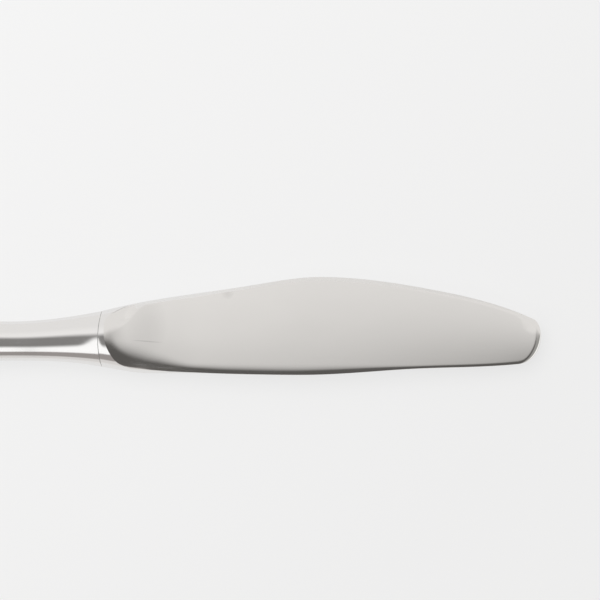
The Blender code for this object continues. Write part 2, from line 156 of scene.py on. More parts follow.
# Handle, spigot and tang
MOUTH_HEIGHT_SLOPE = 0.19
MOUTH_THICKNESS_SLOPE = 0.12
MOUTH_ROUNDNESS = 2.0
SWELL_ROUNDNESS = 2.5
SPIGOT_LENGTH = 4.0 * MM
SPIGOT_GAP = 0.3 * MM
TANG_ROOT_HEIGHT = 4.0 * MM
TANG_ROOT_THICKNESS = 1.5 * MM
TANG_END_HEIGHT = 2.2 * MM
TANG_END_THICKNESS = 1.1 * MM
TANG_SQUARENESS = 7.0
NOTCH_FROM_END = 8.0 * MM
NOTCH_SPACING = 9.0 * MM
NOTCH_COUNT = 3
NOTCH_WIDTH = 3.0 * MM
NOTCH_DEPTH = 0.45 * MM
SEAM = 0.45 * MM
SEAM_FILL = 0.96

# Fineness of the meshes
SPINE_BAND = 0.3
SPINE_LINES = 22
FLAT_LINES = 24
EDGE_BAND = 0.1
EDGE_LINES = 18
LONG_RINGS = 170
TIP_RINGS = 12
BOLSTER_RINGS = 12
TANG_RINGS = 28
CURVE_POINTS = 30
BORDER_POINTS = 200
ARC_POINTS = 49
NECK_RINGS = 60
GRIP_RINGS = 56
BUTT_RINGS = 24
ROUND_RINGS = 3
END_CROWDING = 0.6
WELD = 0.001 * MM
SHARP_ANGLE = math.radians(32.0)

# Places of the blade's finishes among its materials
POLISHED, SATIN, GROUND = range(3)

# Wear on the blade, and painted shade on its flats near the heel: distance from the joint, height over the
# axis, half length and half width of each mark
SCRATCH = (9.8 * MM, 0.0, 4.0 * MM, 0.2 * MM)
SCRATCH_TURN = math.radians(-4.8)
SCRATCH_DEPTH = 0.2
DULL_SPOT = (26.2 * MM, 9.5 * MM, 1.6 * MM, 1.3 * MM)
DULL_DEPTH = 0.12
# Painted shade: darkens the colour of the flats near the heel, where their reflection is darker
HEEL_PAINTED_SHADE = (9.9 * MM, 3.2 * MM, 4.6 * MM, 7.0 * MM)
HEEL_SHADE_DEPTH = 0.085

# Share of the way from its rim to its middle over which a mark comes up to its depth
MARK_SPAN = (0.0, 0.6)

# Noises of the finishes: repeats per metre along, across and through the knife, detail, and turn in its plane
SATIN_LINES = ((45.0, 7000.0, 7000.0), 3.0, 0.0)
SATIN_SMUDGES = ((60.0, 130.0, 130.0), 4.0, 0.0)
STRAY_SCRATCHES = ((90.0, 3800.0, 3800.0), 1.0, math.radians(7.0))
POLISH_HAIRLINES = ((120.0, 5200.0, 5200.0), 2.0, math.radians(-11.0))
POLISH_RIPPLES = ((90.0, 240.0, 240.0), 2.0, 0.0)
POLISH_HAZE = ((70.0, 150.0, 150.0), 4.0, 0.0)
GRINDING_LINES = ((5200.0, 260.0, 260.0), 2.0, math.radians(14.0))
GRINDING_NICKS = ((900.0, 900.0, 900.0), 2.0, 0.0)
SOLDER_PITS = ((1800.0, 1800.0, 1800.0), 4.0, 0.0)
SOLDER_DRAGS = ((160.0, 2600.0, 2600.0), 3.0, 0.0)
CEMENT_GRIT = ((2600.0, 2600.0, 2600.0), 6.0, 0.0)
CEMENT_PATCHES = ((180.0, 180.0, 180.0), 4.0, 0.0)
PAPER_MOTTLE = ((9.0, 9.0, 9.0), 3.0, 0.0)

# Part of a noise's values that is spread out: most of it, or its peaks alone
NOISE_SPAN = (0.3, 0.7)
SCRATCH_SPAN = (0.70, 0.76)
HAIRLINE_SPAN = (0.66, 0.78)

# Relief of the finishes: strength and depth
SATIN_RELIEF = (0.05, 0.01 * MM)
HAIRLINE_RELIEF = (0.05, 0.01 * MM)
RIPPLE_RELIEF = (0.12, 0.04 * MM)
GRINDING_RELIEF = (0.03, 0.01 * MM)
SOLDER_RELIEF = (0.2, 0.015 * MM)
CEMENT_RELIEF = (0.5, 0.08 * MM)

# Tones of the finishes: shares of the colour where a noise is low and where it is high
SATIN_TONES = (0.975, 1.02)
POLISH_TONES = (0.975, 1.01)
GRINDING_TONES = (0.97, 1.02)
SOLDER_TONES = (0.92, 1.03)
CEMENT_TONES = (0.85, 1.12)
PAPER_TONES = (0.995, 1.005)

# Blur of the finishes: roughness where a noise is low and where it is high, or what a noise adds to it there
SOLDER_BLUR = (0.16, 0.3)
CEMENT_BLUR = (0.82, 0.97)
SMUDGES_ADD = (-0.03, 0.03)
SATIN_LINES_ADD = (-0.02, 0.02)
POLISH_HAZE_ADD = (-0.02, 0.03)
HAIRLINES_ADD = (0.0, 0.08)
GRINDING_ADD = (-0.05, 0.05)

# Studio: panels hung one before the other in front of open light. A panel covers the directions whose lean
# in degrees, weighted to the tip and to the edge, lies below its border: tone, weights, border, soft border
OPEN_LIGHT = (0.95, 0.94, 0.93)
SHADE = (0.11, 0.106, 0.102)
FAR_WALL = (0.875, 0.865, 0.855)
WINDOW = (1.15, 1.15, 1.15)
TIP_SHADE = (0.35, 0.345, 0.335)
TIP_WINDOW = (1.11, 1.11, 1.1)
EDGE_WALL = (0.84, 0.83, 0.82)
HANDLE_SHADE = (0.25, 0.245, 0.24)
WARM_WALL = (0.36, 0.335, 0.325)
LOW_WALL = (0.77, 0.75, 0.74)
BLADE_PANELS = (
    (SHADE, (-0.6, 1.0), -5.2, 26.0),
    (SHADE, (-0.16, 1.0), -11.6, 18.8),
    (SHADE, (-0.94, 1.0), -13.7, 5.5),
    (TIP_SHADE, (-1.0, 0.0), -25.0, 4.0),
    (EDGE_WALL, (0.0, -1.0), -10.0, 9.0),
    (TIP_WINDOW, (-1.0, 0.5), -71.0, 6.0),
)
HANDLE_PANELS = (
    (FAR_WALL, (0.0, -1.0), -25.0, 10.0),
    (HANDLE_SHADE, (0.0, 1.0), 9.0, 6.0),
    (WINDOW, (0.6, 1.0), -27.3, 6.0),
    (WINDOW, (5.0, 1.0), -101.3, 6.0),
    (WARM_WALL, (0.0, 1.0), -39.5, 2.5),
    (LOW_WALL, (0.0, 1.0), -62.5, 3.0),
)

# The handle's panels hang where the lean to the tip is below a side, and run on level past a far lean
HANDLE_SIDE = -9.35
HANDLE_SIDE_SOFT = 0.3
FAR_LEAN = -20.5

# Far wall all round, where a direction rises less than this, as the sine of its angle
HORIZON = 0.14
HORIZON_SOFT = 0.07

# Paper, lamp and camera
GLOW_REACH = 120.0 * MM
LAMP_PLACE = (-0.45, 0.5, 1.3)
LAMP_TURN = (-0.36, -0.33, 0.0)
CAMERA_NEAR = 10.0 * MM


def size(name, default, description):
    """Length that can be set."""
    return bpy.props.FloatProperty(
        name=name, description=description, default=default, min=0.0, precision=5, unit="LENGTH")


def amount(name, default, description):
    """Share from nothing to all that can be set."""
    return bpy.props.FloatProperty(
        name=name, description=description, default=default, min=0.0, max=1.0, subtype="FACTOR")


def tint(name, default, description):
    """Colour that can be set."""
    return bpy.props.FloatVectorProperty(
        name=name, description=description, default=default, size=3, min=0.0, max=1.0, subtype="COLOR")


class KnifeSizes(bpy.types.PropertyGroup):
    """Sizes of the blade and the handle."""

    blade_length: size("Blade length", BLADE_HIGH.x - JOINT_X, "From the joint to the tip")
    crown_distance: size("Crown distance", 45.0 * MM, "From the joint to the highest point of the edge")
    crown_height: size("Crown height", BLADE_HIGH.y - AXIS_Y, "Highest point of the edge above the axis")
    spine_depth: size("Spine depth", AXIS_Y - BLADE_LOW.y, "Lowest point of the spine below the axis")
    joint_edge: size("Edge height at the joint", 6.0 * MM, "From the axis to the top of the joint")
    joint_spine: size("Spine depth at the joint", 5.15 * MM, "From the axis to the bottom of the joint")
    heel_thickness: size("Heel thickness", 3.52 * MM, "Between the flats on the axis at the joint")
    flare_thickness: size("Heel flare", 2.25 * MM, "What the flats gain towards the joint")
    tip_thickness: size("Tip thickness", 1.06 * MM, "Between the flats on the axis at the tip")
    crown_thickness: size("Edge thickness", 0.72 * MM, "Between the flats at the crown of the edge")
    edge_thickness: size("Edge land", 0.2 * MM, "Width of the blunt cutting edge")
    spine_land: amount("Spine land", 0.72, "Share of the thickness that stays flat along the spine")
    edge_grind: size("Edge grind", 0.7 * MM, "Width of the ground bevel along the edge")
    face_crown: size("Face crown", 0.12 * MM, "Bulge of each flat between spine and edge")
    shoulder_round: size("Shoulder rounding", 6.7 * MM, "Depth of the spine's rounding near the heel")
    spine_round: size("Spine rounding", 2.3 * MM, "Depth of the spine's rounding past the heel")
    bolster_thickness: size("Bolster thickness", 6.2 * MM, "Of the oval at the joint")
    crest_thickness: size("Crest thickness", 6.6 * MM, "Of the oval where it is thickest")
    ramp_length: size("Heel ramp", 4.5 * MM, "Over which the flats sink below the bolster")
    handle_length: size("Handle length", JOINT_X - SHELL_LOW.x, "From the joint to the butt")
    neck_distance: size("Neck distance", 18.0 * MM, "From the joint to the thinnest part of the handle")
    neck_height: size("Neck height", 8.0 * MM, "Height of the thinnest part")
    neck_thickness: size("Neck thickness", 5.0 * MM, "Thickness of the thinnest part")
    swell_height: size("Swell height", SHELL_HIGH.y - SHELL_LOW.y, "Height of the widest part")
    swell_thickness: size("Swell thickness", 2.0 * (SHELL_HIGH.z - MIDDLE_Z), "Thickness of the widest part")
    butt_length: size("Butt length", 19.0 * MM, "From the widest part to the end of the handle")
    wall: size("Shell wall", 0.5 * MM, "Of the pressed shells")
    tang_length: size("Tang length", JOINT_X - BLADE_LOW.x, "From the joint to the end of the tang")


class KnifeFinish(bpy.types.PropertyGroup):
    """Colours and gloss of the surfaces."""

    satin_colour: tint("Satin colour", (0.857, 0.842, 0.822), "Steel of the ground blade")
    satin_roughness: amount("Satin roughness", 0.1, "Blur of the blade's reflections")
    satin_grain: amount("Satin grain", 0.3, "Stretch of the reflections across the grinding lines")
    polish_colour: tint("Polish colour", (0.85, 0.84, 0.83), "Steel of the handle and the bolster")
    polish_roughness: amount("Polish roughness", 0.07, "Blur of the handle's reflections")
    edge_colour: tint("Edge colour", (0.86, 0.85, 0.835), "Steel of the ground edge")
    edge_roughness: amount("Edge roughness", 0.3, "Blur of the edge's reflections")
    solder_colour: tint("Solder colour", (0.80, 0.79, 0.78), "Polished seam between the shells")
    cement_colour: tint("Cement colour", (0.42, 0.40, 0.37), "Filling of the handle")


class KnifeStage(bpy.types.PropertyGroup):
    """Floor, light and camera."""

    floor_colour: tint("Floor colour", (0.87, 0.87, 0.87), "Plain floor under the knife")
    floor_size: size("Floor size", 12.0, "Side of the floor")
    glow_share: amount("Paper glow", 0.8, "Share of the floor's look that keeps clear of shadow")
    glow_near: amount("Glow at the handle", 0.94, "Brightness of the paper on the far side of the handle")
    glow_far: amount("Glow at the tip", 0.865, "Brightness of the paper on the near side of the tip")
    lamp_power: bpy.props.FloatProperty(
        name="Lamp power", description="Soft lamp over the floor", default=9.0, min=0.0, unit="POWER")
    lamp_size: size("Lamp size", 1.1, "Side of the soft lamp")
    camera_height: size("Camera height", 300.0 * MM, "Above the middle of the knife")
    picture_width: size("Picture width", 122.2 * MM, "Shown at the height of the knife")
    picture_x: size("Picture centre along", 40.9 * MM, "From the joint to the middle of the picture")
    picture_y: size("Picture centre across", 8.35 * MM, "From the axis to the middle of the picture")


def lerp(start, end, share):
    """Value a share of the way from start to end."""
    return start + (end - start) * share


def ease(value, start, end):
    """Smooth step from 0 at start to 1 at end."""
    share = np.clip((value - start) / (end - start), 0.0, 1.0)
    return share * share * (3.0 - 2.0 * share)


def smooth_line(knots, x):
    """Heights at x of a smooth curve through knots of (x, height, slope)."""
    at, height, slope = np.array(knots).T
    span = np.clip(np.searchsorted(at, x) - 1, 0, len(at) - 2)
    run = at[span + 1] - at[span]
    t = (x - at[span]) / run
    return (
        lerp(height[span], height[span + 1], t * t * (3.0 - 2.0 * t))
        + run * slope[span] * t * (1.0 - t) ** 2
        - run * slope[span + 1] * t * t * (1.0 - t))


def edge_line(sizes, x):
    """Height of the cutting edge."""
    return smooth_line((
        (0.0, sizes.joint_edge, JOINT_EDGE_SLOPE),
        (sizes.crown_distance - RISE_BEFORE_CROWN, sizes.crown_height - RISE_DROP, RISE_SLOPE),
        (sizes.crown_distance, sizes.crown_height, 0.0),
        (sizes.crown_distance + FALL_AFTER_CROWN, sizes.crown_height - FALL_DROP, FALL_SLOPE),
        (sizes.blade_length - TIP_EDGE_BACK, TIP_EDGE_HEIGHT, TIP_EDGE_SLOPE)), x)


def spine_line(sizes, x):
    """Height of the spine, below the axis."""
    return smooth_line((
        (0.0, -sizes.joint_spine, JOINT_SPINE_SLOPE),
        (SHOULDER_DISTANCE, -SHOULDER_DEPTH, SHOULDER_SLOPE),
        (SPINE_DISTANCE, -sizes.spine_depth, 0.0),
        (SPINE_DISTANCE + SPINE_RISE_AFTER, SPINE_RISE - sizes.spine_depth, SPINE_RISE_SLOPE),
        (sizes.blade_length - TIP_SPINE_BACK, -TIP_SPINE_DEPTH, TIP_SPINE_SLOPE)), x)


def bent_line(start, leave, arrive, end):
    """Points of a cubic curve, without its last point."""
    t = np.linspace(0.0, 1.0, CURVE_POINTS, endpoint=False)[:, None]
    s = 1.0 - t
    return s ** 3 * start + 3.0 * s * s * t * leave + 3.0 * s * t * t * arrive + t ** 3 * end


def tip_line(sizes):
    """End of the blade from the spine's corner round to the edge's."""
    edge_end = sizes.blade_length - TIP_EDGE_BACK
    spine_end = sizes.blade_length - TIP_SPINE_BACK
    tip = np.array((sizes.blade_length, TIP_HEIGHT))
    edge_corner = np.array((edge_end, edge_line(sizes, edge_end)))
    spine_corner = np.array((spine_end, spine_line(sizes, spine_end)))
    edge_way = np.array((1.0, TIP_EDGE_SLOPE)) / math.hypot(1.0, TIP_EDGE_SLOPE)
    spine_way = np.array((1.0, TIP_SPINE_SLOPE)) / math.hypot(1.0, TIP_SPINE_SLOPE)
    up = np.array((0.0, 1.0))
    lower = bent_line(
        spine_corner, spine_corner + spine_way * TIP_SPINE_REACH, tip - up * TIP_SPINE_REACH, tip)
    upper = bent_line(
        tip, tip + up * TIP_EDGE_REACH, edge_corner + edge_way * TIP_EDGE_REACH, edge_corner)
    return np.concatenate((lower, upper, edge_corner[None]))


def share_points(points, shares):
    """Points at shares of a line's length."""
    steps = np.linalg.norm(np.diff(points, axis=0), axis=1)
    reach = np.concatenate(([0.0], np.cumsum(steps)))
    return np.stack([np.interp(shares * reach[-1], reach, column) for column in points.T], axis=1)


def along_line(line, sizes, start, end, shares):
    """Points of an outline at shares of the way from one distance to another."""
    x = lerp(start, end, shares)
    return np.stack((x, line(sizes, x)), axis=1)


def face_half(sizes, x, y):
    """Half thickness of the blade between its two flats."""
    middle = lerp(sizes.heel_thickness, sizes.tip_thickness, x / sizes.blade_length)
    at_crown = lerp(sizes.heel_thickness, sizes.tip_thickness, sizes.crown_distance / sizes.blade_length)
    wedge = (at_crown - sizes.crown_thickness) / sizes.crown_height
    flare = sizes.flare_thickness * np.clip(1.0 - x / FLARE_LENGTH, 0.0, 1.0) ** 2
    return (middle - wedge * y + flare) / 2.0


def blade_border(sizes):
    """Points round the blade, with the depth, half the land, keenness and softness of the rim at each."""
    shares = np.linspace(0.0, 1.0, BORDER_POINTS)
    length = sizes.blade_length
    spine = along_line(spine_line, sizes, 0.0, length - TIP_SPINE_BACK, shares)
    edge = along_line(edge_line, sizes, length - TIP_EDGE_BACK, 0.0, shares)
    blunt = np.concatenate((spine, tip_line(sizes)[1:-1]))
    to_tip = ease(blunt[:, 0], TIP_START, TIP_END)
    rim = lerp(sizes.shoulder_round, sizes.spine_round, ease(blunt[:, 0], ROUND_START, ROUND_END))
    rim = lerp(rim, SPINE_TIP_ROUND, ease(blunt[:, 0], SPINE_TIP_START, SPINE_TIP_END))
    sharp = ease(edge[:, 0], 0.0, EDGE_FADE) * ease(edge[:, 0], length, length - EDGE_TIP_FADE)
    edge_blunt = lerp(EDGE_HEEL_ROUND, EDGE_TIP_ROUND, edge[:, 0] / length)
    depth = np.concatenate((lerp(rim, TIP_ROUND, to_tip), lerp(edge_blunt, sizes.edge_grind, sharp)))
    to_tip = np.concatenate((to_tip, ease(edge[:, 0], TIP_START, TIP_END)))
    kept = ease(blunt[:, 0], LAND_START, LAND_END) * ease(blunt[:, 0], length, spine[-1, 0])
    flat = sizes.spine_land * face_half(sizes, *blunt.T) * kept
    land = np.concatenate((flat, sharp * sizes.edge_thickness / 2.0))
    keen = np.concatenate((np.zeros(len(blunt)), sharp))
    soft = lerp(ROUND_SOFTNESS, TIP_SOFTNESS, to_tip)
    return np.concatenate((blunt, edge)), np.stack((depth, land, keen, soft))


def ground_half(sizes, places, rise, border):
    """Half thickness of the ground blade, rounded over to the nearest rim or ground straight to it."""
    points, rims = border
    along = np.diff(points, axis=0)
    offset = places[:, None] - points[:-1]
    part = np.clip((offset * along).sum(2) / (along ** 2).sum(1), 0.0, 1.0)
    away = np.linalg.norm(offset - part[..., None] * along, axis=2) / lerp(rims[0, :-1], rims[0, 1:], part)
    nearest = away.argmin(1)[:, None]
    reach = np.minimum(np.take_along_axis(away, nearest, 1)[:, 0], 1.0)
    part = np.take_along_axis(part, nearest, 1)[:, 0]
    _, land, keen, soft = lerp(rims[:, nearest[:, 0]], rims[:, nearest[:, 0] + 1], part)
    bulge = sizes.face_crown * 4.0 * rise * (1.0 - rise)
    over = lerp(np.sqrt(1.0 - (1.0 - reach) ** soft), reach, keen)
    return lerp(land, face_half(sizes, *places.T) + bulge, over)


def bolster_half(sizes, x, share):
    """Half thickness of the oval bolster at a share of the height from spine to edge."""
    crest = smooth_line((
        (0.0, sizes.bolster_thickness / 2.0, MOUTH_THICKNESS_SLOPE),
        (CREST_DISTANCE, sizes.crest_thickness / 2.0, 0.0),
        (TONGUE_LENGTH, TONGUE_THICKNESS / 2.0, TONGUE_SLOPE)), np.minimum(x, TONGUE_LENGTH))
    return crest * 2.0 * np.sqrt(share * (1.0 - share))


def heel_x(share):
    """Distance of the heel line from the joint at a share of the height from spine to edge."""
    to_spine = np.clip(1.0 - share / HEEL_SHARE, 0.0, 1.0)
    to_edge = np.clip((share - HEEL_SHARE) / (1.0 - HEEL_SHARE), 0.0, 1.0)
    turn = HEEL_TURN_REACH * to_spine ** HEEL_TURN_SQUARENESS
    tail = HEEL_TAIL_REACH * to_spine ** HEEL_TAIL_SQUARENESS
    return HEEL_DISTANCE + turn + tail + HEEL_EDGE_REACH * to_edge ** HEEL_EDGE_SQUARENESS


def height_shares():
    """Shares of the height from spine to edge, closer together towards both."""
    spine = SPINE_BAND * (1.0 - np.cos(QUARTER_TURN * np.linspace(0.0, 1.0, SPINE_LINES, endpoint=False)))
    flat = np.linspace(SPINE_BAND, 1.0 - EDGE_BAND, FLAT_LINES, endpoint=False)
    edge = 1.0 - EDGE_BAND * (1.0 - np.sin(QUARTER_TURN * np.linspace(0.0, 1.0, EDGE_LINES)))
    return np.concatenate((spine, flat, edge))


def length_shares(sizes):
    """Shares of the length past the heel line, closer together towards both ends."""
    tip_band = TIP_ROUND / sizes.blade_length
    turn = math.tau * np.arange(1, LONG_RINGS) / LONG_RINGS
    long = (1.0 - tip_band) * (turn - END_CROWDING * np.sin(turn)) / math.tau
    tip = 1.0 - tip_band * (1.0 - np.sin(QUARTER_TURN * np.linspace(0.0, 1.0, TIP_RINGS)))
    return np.concatenate((long, tip))


def handle_section(sizes, distance, inset):
    """Middle, half height, half thickness and roundness of the handle, drawn in all round."""
    swell = sizes.handle_length - sizes.butt_length
    neck = sizes.neck_distance
    top = smooth_line((
        (0.0, sizes.joint_edge, -MOUTH_HEIGHT_SLOPE),
        (neck, sizes.neck_height / 2.0, 0.0), (swell, sizes.swell_height / 2.0, 0.0)), distance)
    bottom = smooth_line((
        (0.0, -sizes.joint_spine, MOUTH_HEIGHT_SLOPE),
        (neck, -sizes.neck_height / 2.0, 0.0), (swell, -sizes.swell_height / 2.0, 0.0)), distance)
    thickness = smooth_line((
        (0.0, sizes.bolster_thickness, -2.0 * MOUTH_THICKNESS_SLOPE),
        (neck, sizes.neck_thickness, 0.0), (swell, sizes.swell_thickness, 0.0)), distance)
    roundness = lerp(MOUTH_ROUNDNESS, SWELL_ROUNDNESS, ease(distance, 0.0, swell))
    return (top + bottom) / 2.0, (top - bottom) / 2.0 - inset, thickness / 2.0 - inset, roundness


def tang_rows(sizes, shares):
    """Rows (x, y, half thickness) of the notched tang, from its end to the spigot."""
    distance = np.linspace(sizes.tang_length, SPIGOT_LENGTH, TANG_RINGS)
    part = (distance - SPIGOT_LENGTH) / (sizes.tang_length - SPIGOT_LENGTH)
    high = lerp(TANG_ROOT_HEIGHT, TANG_END_HEIGHT, part) / 2.0
    thick = lerp(TANG_ROOT_THICKNESS, TANG_END_THICKNESS, part) / 2.0
    for number in range(NOTCH_COUNT):
        centre = sizes.tang_length - NOTCH_FROM_END - NOTCH_SPACING * number
        high -= NOTCH_DEPTH * np.clip(1.0 - np.abs(distance - centre) / (NOTCH_WIDTH / 2.0), 0.0, 1.0)
    angle = np.pi * shares
    across = -np.sign(np.cos(angle)) * np.abs(np.cos(angle)) ** (2.0 / TANG_SQUARENESS)
    through = np.abs(np.sin(angle)) ** (2.0 / TANG_SQUARENESS)
    rows = np.empty((TANG_RINGS, len(shares), 3))
    rows[..., 0] = -distance[:, None]
    rows[..., 1] = high[:, None] * across
    rows[..., 2] = thick[:, None] * through
    return rows


def spigot_rows(sizes, shares):
    """Rows of the spigot that fills the handle's mouth."""
    rows = np.empty((2, len(shares), 3))
    for row, distance in zip(rows, (SPIGOT_LENGTH, 0.0)):
        middle, half_height, half_thickness, _ = handle_section(sizes, distance, sizes.wall + SPIGOT_GAP)
        row[:, 0] = -distance
        row[:, 1] = middle + half_height * (2.0 * shares - 1.0)
        row[:, 2] = half_thickness * 2.0 * np.sqrt(shares * (1.0 - shares))
    return rows


def joint_x(across):
    """Distance of the hairline joint, by how far across from the crest (0) to either outline (-1 or 1)."""
    return JOINT_SHIFT + JOINT_BOW * across ** 2


def bolster_row(sizes, shares, x, inset):
    """One row across the bolster, drawn in all round."""
    oval = 2.0 * np.sqrt(shares * (1.0 - shares))
    y = lerp(spine_line(sizes, x), edge_line(sizes, x), shares) - inset * (2.0 * shares - 1.0)
    return np.stack((x, y, bolster_half(sizes, x, shares) - inset * oval), axis=1)


def bolster_rows(sizes, shares):
    """Rows of the bolster from its rounded joint edge to the heel line."""
    turn = QUARTER_TURN * np.linspace(0.0, 1.0, ROUND_RINGS + 1)
    joint = joint_x(2.0 * shares - 1.0) + JOINT_HAIRLINE / 2.0
    rows = []
    for angle in turn:
        x = joint + JOINT_ROUND * (1.0 - math.cos(angle))
        rows.append(bolster_row(sizes, shares, x, JOINT_ROUND * (1.0 - math.sin(angle))))
    for step in range(1, BOLSTER_RINGS + 1):
        x = lerp(joint + JOINT_ROUND, heel_x(shares), (step / BOLSTER_RINGS) ** 2)
        rows.append(bolster_row(sizes, shares, x, 0.0))
    return np.array(rows)


def blade_rows(sizes, shares):
    """Rows of the blade from just past the heel line to the tip, blended between its four borders."""
    lengths = length_shares(sizes)
    heel_at = heel_x(shares)
    heel = np.stack(
        (heel_at, lerp(spine_line(sizes, heel_at), edge_line(sizes, heel_at), shares)), axis=1)
    tip = share_points(tip_line(sizes), shares)
    spine = along_line(spine_line, sizes, heel[0, 0], tip[0, 0], lengths)
    edge = along_line(edge_line, sizes, heel[-1, 0], tip[-1, 0], lengths)
    border = blade_border(sizes)
    rows = []
    for along, low, high in zip(lengths, spine, edge):
        corners = lerp(
            lerp(heel[0], tip[0], along), lerp(heel[-1], tip[-1], along), shares[:, None])
        places = lerp(low, high, shares[:, None]) + lerp(heel, tip, along) - corners
        bottom = spine_line(sizes, places[:, 0])
        top = edge_line(sizes, places[:, 0])
        rise = np.clip((places[:, 1] - bottom) / (top - bottom), 0.0, 1.0)
        left = np.clip(1.0 - np.linalg.norm(places - heel, axis=1) / sizes.ramp_length, 0.0, 1.0)
        step = HEEL_STEP * ease(shares, HEEL_SHARE, 1.0)
        sunk = np.maximum(bolster_half(sizes, heel_at, rise) - step, 0.0)
        half = lerp(ground_half(sizes, places, rise, border), sunk, left ** RAMP_STEEPNESS)
        rows.append(np.column_stack((places, half)))
    return np.array(rows)


def both_sides(rows):
    """Closed rings from rows: over the front to the edge and back under to the spine."""
    rows[:, (0, -1), 2] = 0.0
    return np.concatenate((rows, rows[:, -2:0:-1] * (1.0, 1.0, -1.0)), axis=1)


def handle_distances(sizes):
    """Distances and insets of the handle's rings behind the joint, from its rounded mouth to the swell."""
    swell = sizes.handle_length - sizes.butt_length
    turn = QUARTER_TURN * np.linspace(0.0, 1.0, ROUND_RINGS, endpoint=False)
    mouth = JOINT_HAIRLINE / 2.0
    steps = np.linspace(0.0, 1.0, NECK_RINGS, endpoint=False) ** 2
    neck = lerp(mouth + JOINT_ROUND, sizes.neck_distance, steps)
    grip = np.linspace(sizes.neck_distance, swell, GRIP_RINGS, endpoint=False)
    distances = np.concatenate((mouth + JOINT_ROUND * (1.0 - np.cos(turn)), neck, grip))
    rounding = np.zeros(len(distances))
    rounding[:ROUND_RINGS] = JOINT_ROUND * (1.0 - np.sin(turn))
    return distances, rounding


def oval_points(x, middle, half_height, half_thickness, roundness, lift, side, angles):
    """Points of half an oval over (1) or under (-1) the seam."""
    across = np.sign(np.cos(angles)) * np.abs(np.cos(angles)) ** (2.0 / roundness)
    through = np.abs(np.sin(angles)) ** (2.0 / roundness)
    points = np.empty((len(angles), 3))
    points[:, 0] = x
    points[:, 1] = middle + half_height * across
    points[:, 2] = side * (lift + (half_thickness - lift) * through)
    return points


def wall_rows(sizes, inset, side, angles):
    """Rows of points along one wall of a shell from mouth to butt, at angles from the edge side over."""
    lift = SEAM / 2.0
    turned_in = 1.0 if inset == 0.0 else -1.0
    rows = []
    for distance, rounding in zip(*handle_distances(sizes)):
        bow = joint_x(np.cos(angles)) * (1.0 - ease(distance, 0.0, JOINT_FADE))
        section = handle_section(sizes, distance - bow, inset + turned_in * rounding)
        rows.append(oval_points(bow - distance, *section, lift, side, angles))
    swell = sizes.handle_length - sizes.butt_length
    middle, half_height, half_thickness, roundness = handle_section(sizes, swell, inset)
    for turn in QUARTER_TURN * np.linspace(0.0, 1.0, BUTT_RINGS):
        closing = math.cos(turn)
        x = -swell - (sizes.butt_length - inset) * math.sin(turn)
        thinner = lerp(lift, half_thickness, closing)
        rows.append(oval_points(x, middle, half_height * closing, thinner, roundness, lift, side, angles))
    return np.array(rows)


def draw_out(name, rings):
    """Piece drawn out of a circle ring by ring, with every ring settled on its section."""
    bpy.ops.object.select_all(action="DESELECT")
    bpy.ops.mesh.primitive_circle_add(
        vertices=len(rings[0]), radius=np.ptp(rings[0][:, 1]) / 2.0,
        location=ORIGIN, rotation=(0.0, QUARTER_TURN, 0.0))
    piece = bpy.context.object
    piece.name = name
    piece.data.name = name
    bpy.ops.object.transform_apply(location=True, rotation=True, scale=True)
    bpy.ops.object.mode_set(mode="EDIT")
    bpy.ops.mesh.select_all(action="SELECT")
    for before, after in zip(rings, rings[1:]):
        step = (after - before).mean(axis=0)
        bpy.ops.mesh.extrude_edges_move(TRANSFORM_OT_translate={"value": tuple(step)})
    bpy.ops.object.mode_set(mode="OBJECT")
    piece.data.vertices.foreach_set("co", (np.asarray(rings) + ORIGIN).ravel())
    piece.data.update()
    return piece


def close_up(piece):
    """Weld rims and poles, fill the open ends and turn the faces outwards."""
    bpy.ops.object.mode_set(mode="EDIT")
    bpy.ops.mesh.select_all(action="SELECT")
    bpy.ops.mesh.remove_doubles(threshold=WELD)
    bpy.ops.mesh.fill_holes(sides=0)
    bpy.ops.mesh.normals_make_consistent(inside=False)
    bpy.ops.object.mode_set(mode="OBJECT")
    bpy.ops.object.shade_smooth_by_angle(angle=SHARP_ANGLE)
    piece.select_set(False)


def lay_grain(piece, rings):
    """UV map that runs across the blade from the spine and along it from the joint, in metres."""
    count = len(rings[0])
    steps = np.linalg.norm(np.diff(np.asarray(rings), axis=1), axis=2)
    half = count // 2
    over = np.concatenate((np.zeros((len(rings), 1)), np.cumsum(steps[:, :half], axis=1)), axis=1)
    across = np.concatenate((over, over[:, -2:0:-1]), axis=1).ravel()
    along = np.asarray(rings)[..., 0].ravel()
    corners = np.empty(len(piece.data.loops), dtype=np.int32)
    piece.data.loops.foreach_get("vertex_index", corners)
    layer = piece.data.uv_layers.new(name="grain")
    layer.uv.foreach_set("vector", np.stack((across[corners], along[corners]), axis=1).ravel())


def part_finishes(piece, sizes, shares, heel):
    """Keep the heel's ring sharp, and part the polished bolster, the satin flats and the ground edge."""
    count = 2 * (len(shares) - 1)
    ground_from = 1.0 - sizes.edge_grind / (sizes.crown_height + sizes.spine_depth)
    for rim in piece.data.edges:
        rim.use_edge_sharp = all(corner // count == heel for corner in rim.vertices)
    for face in piece.data.polygons:
        lines = [corner % count for corner in face.vertices]
        lowest = min(min(line, count - line) for line in lines)
        if min(face.vertices) // count < heel:
            face.material_index = POLISHED
        elif shares[lowest] >= ground_from:
            face.material_index = GROUND
        else:
            face.material_index = SATIN


def add_node(tree, kind, inputs=(), **settings):
    """Node with its settings, each input set to a value or linked to another node's output."""
    made = tree.nodes.new("ShaderNode" + kind)
    for key, value in settings.items():
        setattr(made, key, value)
    for key, value in dict(inputs).items():
        if isinstance(value, bpy.types.NodeSocket):
            tree.links.new(value, made.inputs[key])
        else:
            made.inputs[key].default_value = value
    return made


